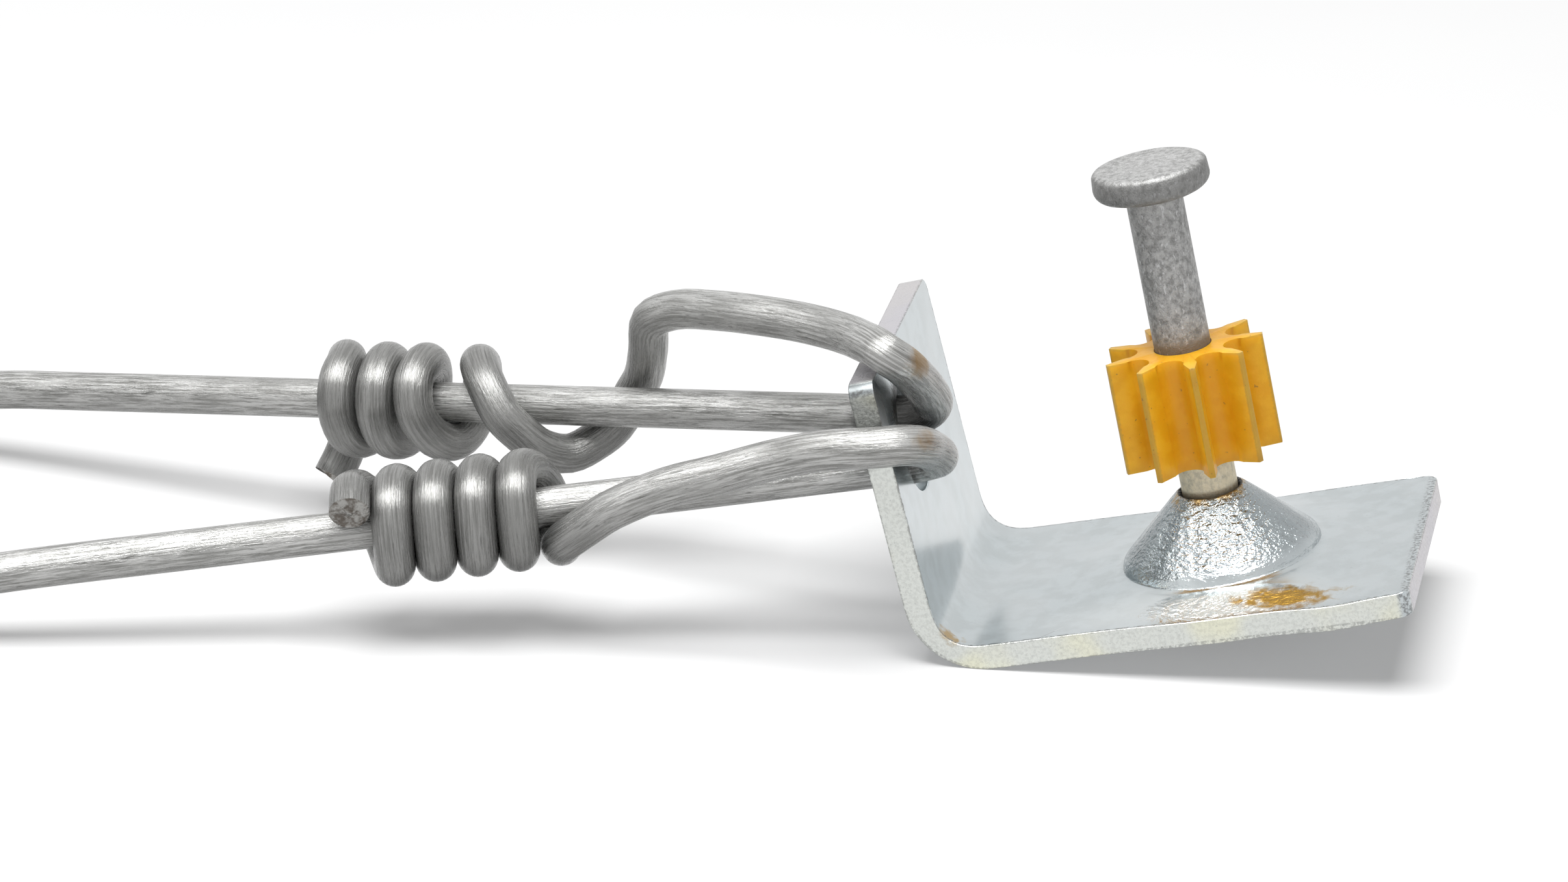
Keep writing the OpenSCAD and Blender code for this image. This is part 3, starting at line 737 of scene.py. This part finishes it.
class ClipSettings(bpy.types.PropertyGroup):
    edge_round: FloatProperty(name="Edge rounding", description="Radius of the punched edges",
                              default=0.16 * MM, unit="LENGTH", min=0.02 * MM, max=0.4 * MM,
                              precision=5)
    zinc: FloatVectorProperty(name="Zinc", description="Colour of the bright plate",
                              default=(0.52, 0.565, 0.58), subtype="COLOR", min=0, max=1)
    zinc_shade: FloatVectorProperty(name="Shaded zinc", description="Colour of its dull clouds",
                                    default=(0.475, 0.515, 0.525), subtype="COLOR", min=0, max=1)
    stain: FloatVectorProperty(name="Stain", description="Colour of the amber staining",
                               default=(0.36, 0.21, 0.022), subtype="COLOR", min=0, max=1)


class PinSettings(bpy.types.PropertyGroup):
    steps: IntProperty(name="Steps", description="Facets round the pin", default=72, min=24,
                       max=160)
    zinc_light: FloatVectorProperty(name="Light zinc", description="Colour of the light mottle",
                                    default=(0.41, 0.41, 0.405), subtype="COLOR", min=0, max=1)
    zinc_dark: FloatVectorProperty(name="Dark zinc", description="Colour of the dark mottle",
                                   default=(0.19, 0.19, 0.185), subtype="COLOR", min=0, max=1)


class FluteSettings(bpy.types.PropertyGroup):
    edge_round: FloatProperty(name="Edge rounding", description="Radius of the fins' edges",
                              default=0.09 * MM, unit="LENGTH", min=0.02 * MM, max=0.2 * MM,
                              precision=5)
    amber: FloatVectorProperty(name="Amber", description="Colour of the plastic",
                               default=(0.74, 0.375, 0.008), subtype="COLOR", min=0, max=1)


class StageSettings(bpy.types.PropertyGroup):
    floor: FloatVectorProperty(name="Floor", description="Colour of the floor",
                               default=(0.54, 0.54, 0.54), subtype="COLOR", min=0, max=1)
    lamp_power: FloatProperty(name="Lamp", description="Power of the overhead softbox",
                              default=3.6, min=0.1, max=20, subtype="POWER")
    fill: FloatProperty(name="Fill", description="Strength of the light from all round",
                        default=0.22, min=0, max=1, subtype="FACTOR")
    focal: FloatProperty(name="Focal length", description="Focal length of the camera",
                         default=158.966, min=50, max=300, unit="CAMERA")


# ---- Operators ----
# Where the camera stands, in millimetres, and which way it looks, in degrees
CAMERA_AT, CAMERA_AZIMUTH, CAMERA_ELEVATION = (72.022, -416.355, 167.381), -10.0856, 20.2557
SENSOR_W, FLOOR_HALF = 36.0, 4.0
# Each lamp's place, aim and size in metres, and its power against the overhead one's
LAMPS = (("overhead", (-0.012, -0.11, 0.47), (0.0, 0.0, 0.0), (0.36, 0.30), 1.0),
         ("left", (-0.40, -0.08, 0.41), (0.01, 0.0, 0.0), (0.08, 0.14), 0.1))


class ANGLECLIP_OT_stage(bpy.types.Operator):
    """Lays the floor, the lamps, the world and the camera"""

    bl_idname = "angle_clip.stage"
    bl_label = "Stage"

    def execute(self, context):
        look = context.scene.angle_clip_stage
        scene = context.scene
        scene.view_settings.view_transform = "Standard"
        camera = bpy.data.objects.new("camera", bpy.data.cameras.new("camera"))
        scene.collection.objects.link(camera)
        camera.data.sensor_width = SENSOR_W
        camera.data.lens = look.focal
        camera.data.clip_start, camera.data.clip_end = 0.02, 20.0
        azimuth, elevation = math.radians(CAMERA_AZIMUTH), math.radians(CAMERA_ELEVATION)
        ahead = Vector((math.sin(azimuth) * math.cos(elevation),
                        math.cos(azimuth) * math.cos(elevation), -math.sin(elevation)))
        camera.location = Vector(CAMERA_AT) * MM
        camera.rotation_mode = "QUATERNION"
        camera.rotation_quaternion = ahead.to_track_quat("-Z", "Y")
        scene.camera = camera

        bm = bmesh.new()
        bmesh.ops.create_grid(bm, x_segments=1, y_segments=1, size=FLOOR_HALF)
        paint = Paint(bpy.data.materials.new("white_table"))
        here = paint.place()
        soft = paint.fade(paint.noise(here, 18.0, 3.0), 0.3, 0.7, 0.0, 0.5)
        diffuse = paint.add("ShaderNodeBsdfDiffuse", inputs={
            "Color": paint.mix(soft, look.floor, (0.52, 0.52, 0.525)), "Roughness": 0.4})
        # What is seen of the floor glows, and more so away from the part
        far = paint.fade(paint.near(here, (0.0, 0.0, 0.0), (1.0, 1.0, 1.0)), 0.16, 0.75)
        glow = paint.add("ShaderNodeEmission", inputs={
            "Color": paint.mix(far, (0.30, 0.30, 0.30), (1.0, 1.0, 1.0)), "Strength": 0.85})
        both = paint.add("ShaderNodeAddShader", inputs={0: diffuse, 1: glow})
        paint.add_output(self.where_seen(paint, diffuse, both))
        piece_from(bm, "floor", [paint.material])

        # The room is white where it is seen, and lights the part more faintly
        scene.world = bpy.data.worlds.new("white_room")
        room = Paint(scene.world)
        fill, white = (room.add("ShaderNodeBackground", inputs={"Color": (1, 1, 1, 1),
                                                                "Strength": strength})
                       for strength in (look.fill, 1.0))
        room.add_output(self.where_seen(room, fill, white), "ShaderNodeOutputWorld")

        for name, at, aim, size, share in LAMPS:
            data = bpy.data.lights.new(name, "AREA")
            data.shape, data.energy = "RECTANGLE", look.lamp_power * share
            data.size, data.size_y = size
            lamp = bpy.data.objects.new(name, data)
            scene.collection.objects.link(lamp)
            lamp.location = at
            lamp.rotation_mode = "QUATERNION"
            lamp.rotation_quaternion = (Vector(aim) - Vector(at)).to_track_quat("-Z", "Y")
        return {"FINISHED"}

    def where_seen(self, paint, unseen, seen):
        """One shader for what the camera, gloss and glass see, and another for the rest."""
        path = paint.add("ShaderNodeLightPath").socket.node
        camera, glossy, through = (Tap(paint, path.outputs[name]) for name in (
            "Is Camera Ray", "Is Glossy Ray", "Is Transmission Ray"))
        factor = (camera + glossy + through).at_most(1.0)
        return paint.add("ShaderNodeMixShader", inputs={0: factor, 1: unseen, 2: seen})


# Each wire's strand starts in the hole and points at far. Its lead starts at tie_end along the
# strand and goes by the given points into its coil, which turns by side and lies on base. rust
# gives the place and reach of the rubbed spot in metres, and cut the slant of the sheared end.
REAR = {
    "name": "rear", "far": Vector((-57.6, 16.5, 5.5)), "hole": (HOLE_UP + 0.95, HOLE_SIDE + 1.25),
    "tie_end": 47.25,
    "hand_points": (Vector((-65.8, 18.2, 4.7)), Vector((-73.4, 19.6, 7.3)),
                    Vector((-80.6, 20.8, 11.6))),
    "side": 1, "base": STACK_H, "path": rear_path, "cut": 0.35,
    "rust": ((0.0079, -0.0062, 0.0200), (0.0018, 0.0022, 0.0016)),
}
FRONT = {
    "name": "front", "far": Vector((-48.6, -15.0, 5.0)), "hole": (HOLE_UP - 1.5, HOLE_SIDE - 1.4),
    "tie_end": 41.5,
    "hand_points": (Vector((-55.6, -16.2, 3.9)), Vector((-66.6, -18.0, 2.3)),
                    Vector((-77.6, -19.2, 1.5))),
    "side": -1, "base": 0.0, "path": front_path, "cut": 0.05,
    "rust": ((0.0099, -0.0108, 0.0163), (0.0018, 0.0040, 0.0015)),
}
# Sides round a lead and its coil. A knot has more, as its settings say.
RUN_SIDES = 20


class ANGLECLIP_OT_wires(bpy.types.Operator):
    """Makes each wire's knot, and its free run with the put-away coil"""

    bl_idname = "angle_clip.wires"
    bl_label = "Hanger wires"

    def execute(self, context):
        look = context.scene.angle_clip_wire
        cut = cut_paint()
        for wire in (REAR, FRONT):
            name, tie_end = wire["name"], wire["tie_end"]
            body = f"{name}_wire"
            strand = Strand(on_leg(*wire["hole"], STRIP_T / 2), wire["far"])
            zinc = wire_paint(look, f"galvanised_{name}_wire", strand, wire["rust"])
            bent = curve_through([strand.beside(6), strand.beside(1), *wire["path"](strand)], 4)
            straight = [strand.beside(tie_end - 3 * k) for k in range(int((tie_end - 7) / 3) + 1)]
            knot = wire_tube(f"{name}_wire_knot", straight + bent, strand.near, look.sides,
                             [zinc, cut], 1.0, wire["cut"])
            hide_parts(f"{name}_wire_tie")
            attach(knot, body)
            path = run_path(strand, tie_end, wire["far"], wire["hand_points"], wire["side"],
                            wire["base"])
            run = wire_tube(f"{name}_wire_run", path, strand.near, RUN_SIDES, [zinc, cut], -1.0,
                            0.1)
            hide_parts(f"{name}_wire_lead", f"{name}_wire_coil")
            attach(run, body)
            strand.beside(tie_end) * MM
            line_length(path) * MM
            [p * MM for p in path]
        return {"FINISHED"}


# Heights of the cone above the dished plate round it, by distance from the pin's axis
CONE_FACE = ((1.90, 4.40), (2.02, 4.50), (2.14, 4.53), (2.32, 4.43), (2.80, 3.99), (3.34, 3.47),
             (3.82, 3.01), (4.35, 2.50), (4.77, 2.10), (5.20, 1.68), (5.45, 1.44), (5.80, 1.11),
             (6.10, 0.82), (6.28, 0.64), (6.40, 0.47), (6.47, 0.28), (6.50, 0.13), (6.53, 0.055),
             (6.58, 0.035), (6.82, 0.03), (6.88, 0.0), (7.30, 0.0))
# Heights of the hollow under the cone above the dished plate's underside
CONE_HOLLOW = ((2.23, 4.28), (5.20, 1.44), (5.45, 1.10), (5.80, 0.04), (6.1, 0.0))
DISH_LIFT = 0.4
# How far the part of the blank round the cone reaches from the pin's axis
CONE_REACH = 10.8


def across_places():
    """Places across the strip, closer together near its edges."""
    half = [HALF_W - d for d in (0.0, 0.08, 0.29, 0.62, 1.0)]
    inner = [9.8 * k / 11 for k in range(10, 0, -1)]
    right = half + inner
    return [-y for y in right] + [0.0] + right[::-1]


def outline_of(across, along, far_end):
    """Points round a part of the blank: its first end, a side, its far end and the other side."""
    return ([(along[0], y) for y in across] + [(s, HALF_W) for s in along[1:]]
            + [(far_end(y), y) for y in across[-2:0:-1]] + [(s, -HALF_W) for s in along[:0:-1]])


def bent(s, across, lift):
    """Where a point of the flat blank goes when the strip is bent, in clip millimetres. s is the
    distance along the inner face, lift the height above it."""
    if s >= BEND_X:
        return Vector((s, across, STRIP_T + lift))
    turned = (BEND_X - s) / INNER_R
    if turned <= BEND_SWEEP:
        # The inner corner is drawn tighter than the outer one
        r = INNER_R - lift + 0.3 * math.sin(math.pi * turned / BEND_SWEEP) ** 2 * (lift > -0.8)
        return Vector((BEND_X - r * math.sin(turned), across, BEND_R - r * math.cos(turned)))
    beyond = (turned - BEND_SWEEP) * INNER_R
    base = Vector((BEND_X - INNER_R * math.sin(BEND_SWEEP), across,
                   BEND_R - INNER_R * math.cos(BEND_SWEEP)))
    return base + LEG_UP * beyond + LEG_IN * lift


def rounded_end(across, end, inward):
    """The end of the strip at a place across it, with its rounded corners."""
    past = abs(across) - (HALF_W - CORNER_R)
    if past <= 0:
        return end
    return end - inward * (CORNER_R - math.sqrt(max(CORNER_R ** 2 - past ** 2, 0.0)))


def fan_out(bm, centre, outline, circles, steps):
    """Circles round a hole or cone, by their radius and lift, that then change into an outline
    by steps, in the flat blank."""
    angles = [math.atan2(p[1] - centre[1], p[0] - centre[0]) for p in outline]

    def circle(r, lift):
        return [Vector((centre[0] + r * math.cos(a), centre[1] + r * math.sin(a), lift))
                for a in angles]

    row = first_ring(bm, circle(*circles[0]))
    for r, lift in circles[1:]:
        row = grow(bm, row, circle(r, lift))
    last = circle(circles[-1][0], 0.0)
    for f in steps:
        row = grow(bm, row, [p.lerp(Vector((*q, 0.0)), f) for p, q in zip(last, outline)])


def blank_wave(s, across):
    """How far the punched blank is off flat: it is drawn up round the cone, and its edges droop
    beside it."""
    near = smooth_to(-across, 6.2, HALF_W)
    droop = -0.20 * math.exp(-((s - 0.5) / 4.5) ** 2) - 0.30 * math.exp(-((s - 8.0) / 3.0) ** 2)
    far = smooth_to(across, 7.0, HALF_W)
    dish = DISH_LIFT * smooth_to(math.hypot(s, across), 11.2, 6.8)
    return dish + near * droop - far * 0.15 * math.exp(-(s / 5.0) ** 2)


def flat_blank(bm, hole_at):
    """The upper face of the punched strip before it is bent, with its cone and wire hole."""
    across = across_places()

    def crossing(s):
        return [Vector((s, y, 0)) for y in across]

    # Base, round the cone
    along = [CONE_REACH - 2 * CONE_REACH * k / 24 for k in range(25)]
    outline = outline_of(across, along, lambda y: -CONE_REACH)
    fan_out(bm, (0.0, 0.0), outline, CONE_FACE, (0.22, 0.46, 0.72, 1.0))

    # Free end
    row = first_row(bm, crossing(CONE_REACH))
    for s in (11.4, 11.9):
        row = grow(bm, row, crossing(s), closed=False)
    grow(bm, row, [Vector((rounded_end(y, PIN_INSET, 1), y, 0)) for y in across], closed=False)

    # Towards the bend and round it
    leg_start = BEND_X - BEND_ARC
    row = first_row(bm, crossing(-CONE_REACH))
    flat = [-CONE_REACH + (BEND_X + CONE_REACH) * k / 4 for k in range(1, 5)]
    curved = [BEND_X - BEND_ARC * k / 14 for k in range(1, 15)]
    for s in flat + curved:
        row = grow(bm, row, crossing(s), closed=False)

    # Leg, round the wire hole
    top = leg_start - LEG_FLAT
    climb = [leg_start + (top + CORNER_R - leg_start) * k / 16 for k in range(17)]
    outline = outline_of(across, climb, lambda y: rounded_end(y, top, -1))
    fan_out(bm, hole_at, outline, ((HOLE_R, 0.0), (HOLE_R + 0.3, 0.0)), (0.15, 0.4, 0.7, 1.0))

    bmesh.ops.remove_doubles(bm, verts=bm.verts, dist=WELD)
    for vert in bm.verts:
        vert.co.z += blank_wave(vert.co.x, vert.co.y)


def thicken(bm, hole_at):
    """Gives the blank its underside, a strip's thickness lower and with the cone's hollow in it,
    and closes its rims. Returns the edges of the wire hole and the outline."""
    upper_rims = [e for e in bm.edges if e.is_boundary]
    copied = bmesh.ops.duplicate(bm, geom=bm.verts[:] + bm.edges[:] + bm.faces[:])["geom"]
    lower_rims = [g for g in copied if isinstance(g, bmesh.types.BMEdge) and g.is_boundary]
    for vert in (g for g in copied if isinstance(g, bmesh.types.BMVert)):
        vert.co.z = (blank_wave(vert.co.x, vert.co.y) - STRIP_T
                     + lerp_table(CONE_HOLLOW, math.hypot(vert.co.x, vert.co.y)))

    def rim_of(edge):
        middle = (edge.verts[0].co + edge.verts[1].co).xy / 2
        if middle.length < SHANK_R + 0.66:
            return "bore"
        return "hole" if (middle - Vector(hole_at)).length < HOLE_R + 0.1 else "outline"

    rims = []
    for kind in ("bore", "hole", "outline"):
        pair = [e for e in upper_rims + lower_rims if rim_of(e) == kind]
        if not bmesh.ops.bridge_loops(bm, edges=pair)["faces"]:
            raise RuntimeError(f"the clip's {kind} was not closed")
        if kind != "bore":
            rims += pair
    return rims


class ANGLECLIP_OT_clip(bpy.types.Operator):
    """Makes the bent strip with its stamped cone and wire hole"""

    bl_idname = "angle_clip.clip"
    bl_label = "Angle clip"

    def execute(self, context):
        look = context.scene.angle_clip_plate
        bm = bmesh.new()
        hole_at = (BEND_X - BEND_ARC - (HOLE_UP - BEND_RISE), HOLE_SIDE)
        flat_blank(bm, hole_at)
        rims = thicken(bm, hole_at)
        for vert in bm.verts:
            vert.co = bent(*vert.co)
        bmesh.ops.recalc_face_normals(bm, faces=bm.faces)
        round_edges(bm, rims, look.edge_round / MM, 3)
        clip = piece_from(bm, "bent_strip", [zinc_paint(look)], STAND)
        clip.modifiers.new("face_normals", "WEIGHTED_NORMAL").keep_sharp = True
        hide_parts("angle_clip")
        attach(clip, "clip")
        return {"FINISHED"}


def pin_outline():
    """The pin's radius and height from its point up: ogive nose, shank, neck and flat head."""
    arc = (NOSE_L ** 2 + SHANK_R ** 2) / (2 * SHANK_R)
    neck = PIN_L - HEAD_T
    under_r, edge_r = 0.7, 0.5
    outline = [(0.0, 0.0)]
    for k in range(13):
        up = NOSE_L * k / 12
        r = SHANK_R - arc + math.sqrt(arc ** 2 - (NOSE_L - up) ** 2)
        outline.append((max(POINT_R, r), up))
    outline += [(SHANK_R, NOSE_L + (neck - 0.5 - NOSE_L) * k / 20) for k in range(1, 21)]
    outline += [(SHANK_R + 0.06, neck - 0.3), (SHANK_R + 0.2, neck - 0.1),
                (SHANK_R + 0.45, neck), (HEAD_R - 0.75, neck + 0.02)]
    outline += [(HEAD_R - under_r + under_r * math.sin(a), neck + 0.72 - under_r * math.cos(a))
                for a in (math.radians(15 * k) for k in range(1, 7))]
    outline += [(HEAD_R - 0.02, neck + 1.0), (HEAD_R - 0.04, neck + 1.3)]
    outline += [(HEAD_R - 0.04 - edge_r + edge_r * math.cos(a),
                 PIN_L - edge_r + (edge_r - 0.05) * math.sin(a))
                for a in (math.radians(18 * k) for k in range(1, 6))]
    outline += [(r, PIN_L - 0.05 - 0.02 * math.cos(r * 2.2)) for r in (2.6, 1.9, 1.2, 0.6)]
    return outline + [(0.0, PIN_L - 0.06)]


class ANGLECLIP_OT_pin(bpy.types.Operator):
    """Makes the drive pin: nose, shank, neck and flat head"""

    bl_idname = "angle_clip.pin"
    bl_label = "Drive pin"

    def execute(self, context):
        look = context.scene.angle_clip_pin
        bm = bmesh.new()
        row = first_row(bm, [Vector((r, 0, up - POINT_OUT)) for r, up in pin_outline()])
        bmesh.ops.spin(bm, geom=row + ring_edges(bm, row, False), cent=(0, 0, 0), axis=(0, 0, 1),
                       angle=2 * math.pi, steps=look.steps, use_merge=True)
        clean(bm)
        # The head is a little out of round
        for vert in bm.verts:
            if vert.co.z > PIN_L - HEAD_T - POINT_OUT:
                a = math.atan2(vert.co.y, vert.co.x)
                out = 0.035 * math.sin(2 * a + 0.7) + 0.02 * math.sin(5 * a) - 0.035
                swell = 1 + out / HEAD_R * (vert.co.xy.length / HEAD_R)
                vert.co.x *= swell
                vert.co.y *= swell
        pin = piece_from(bm, "headed_pin", [pin_paint(look)], STAND)
        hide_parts("drive_pin")
        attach(pin, "pin")
        return {"FINISHED"}


def flute_outline():
    """Points round the flute: valleys with round roots between thin fins."""
    half_fin = math.pi / FIN_COUNT
    valley_r = (HUB_R * math.sin(half_fin) - FIN_ROOT_T / 2) / (1 - math.sin(half_fin))
    root = HUB_R + valley_r
    tip = Vector((FLUTE_R * math.cos(half_fin), FLUTE_R * math.sin(half_fin) - FIN_T / 2))
    tip += (tip - Vector((root, valley_r))) * 0.055
    middle = (tip.x + root) / 2, (tip.y + valley_r) / 2
    valley = [(tip.x, -tip.y), (middle[0], -middle[1])]
    valley += [(root - valley_r * math.cos(a), valley_r * math.sin(a))
               for a in (math.radians(-90 + 15 * k) for k in range(13))]
    valley += [middle, tuple(tip)]
    turns = [Matrix.Rotation(math.radians(FLUTE_TURN + 360 * (i + 0.5) / FIN_COUNT), 2)
             for i in range(FIN_COUNT)]
    return [turn @ Vector(p) for turn in turns for p in valley]


class ANGLECLIP_OT_flute(bpy.types.Operator):
    """Makes the finned plastic flute round the pin"""

    bl_idname = "angle_clip.flute"
    bl_label = "Flute"

    def execute(self, context):
        look = context.scene.angle_clip_flute
        outline = flute_outline()
        bore = [p.normalized() * FLUTE_BORE_R for p in outline]
        heights = [FLUTE_Z + FLUTE_L * k / 10 for k in range(11)]
        bm = bmesh.new()
        row = first_ring(bm, [Vector((*p, FLUTE_Z)) for p in bore])
        for points, z in ([(outline, z) for z in heights] + [(bore, z) for z in heights[::-1]]):
            row = grow(bm, row, [Vector((*p, z)) for p in points])
        clean(bm)
        sharp = [e for e in bm.edges if e.is_manifold and e.calc_face_angle() > math.radians(40)
                 and max(v.co.xy.length for v in e.verts) > FLUTE_BORE_R + 0.31]
        round_edges(bm, sharp, look.edge_round / MM, 2)
        flute = piece_from(bm, "finned_flute", [flute_paint(look)], STAND, flat_above=CREASE)
        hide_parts("pin_flute")
        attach(flute, "flute")
        return {"FINISHED"}


class ANGLECLIP_PT_panel(bpy.types.Panel):
    """Lists the steps that build the part"""

    bl_idname = "ANGLECLIP_PT_panel"
    bl_label = "Angle Clip"
    bl_space_type = "VIEW_3D"
    bl_region_type = "UI"
    bl_category = "Angle Clip"

    def draw(self, context):
        for operator, settings in STEPS:
            column = self.layout.column(align=True)
            column.operator(operator.bl_idname)
            group = getattr(context.scene, settings)
            for name in group.bl_rna.properties.keys():
                if name not in ("rna_type", "name"):
                    column.prop(group, name)


GROUPS = {
    "angle_clip_stage": StageSettings,
    "angle_clip_wire": WireSettings,
    "angle_clip_plate": ClipSettings,
    "angle_clip_pin": PinSettings,
    "angle_clip_flute": FluteSettings,
}
STEPS = (
    (ANGLECLIP_OT_stage, "angle_clip_stage"),
    (ANGLECLIP_OT_wires, "angle_clip_wire"),
    (ANGLECLIP_OT_clip, "angle_clip_plate"),
    (ANGLECLIP_OT_pin, "angle_clip_pin"),
    (ANGLECLIP_OT_flute, "angle_clip_flute"),
)


def register():
    for name, group in GROUPS.items():
        bpy.utils.register_class(group)
        setattr(bpy.types.Scene, name, PointerProperty(type=group))
    for operator, _ in STEPS:
        bpy.utils.register_class(operator)
    bpy.utils.register_class(ANGLECLIP_PT_panel)


def unregister():
    bpy.utils.unregister_class(ANGLECLIP_PT_panel)
    for operator, _ in reversed(STEPS):
        bpy.utils.unregister_class(operator)
    for name, group in GROUPS.items():
        delattr(bpy.types.Scene, name)
        bpy.utils.unregister_class(group)


def main():
    register()
    bpy.ops.angle_clip.stage()
    bpy.ops.angle_clip.wires()
    bpy.ops.angle_clip.clip()
    bpy.ops.angle_clip.pin()
    bpy.ops.angle_clip.flute()


if __name__ == "__main__":
    main()
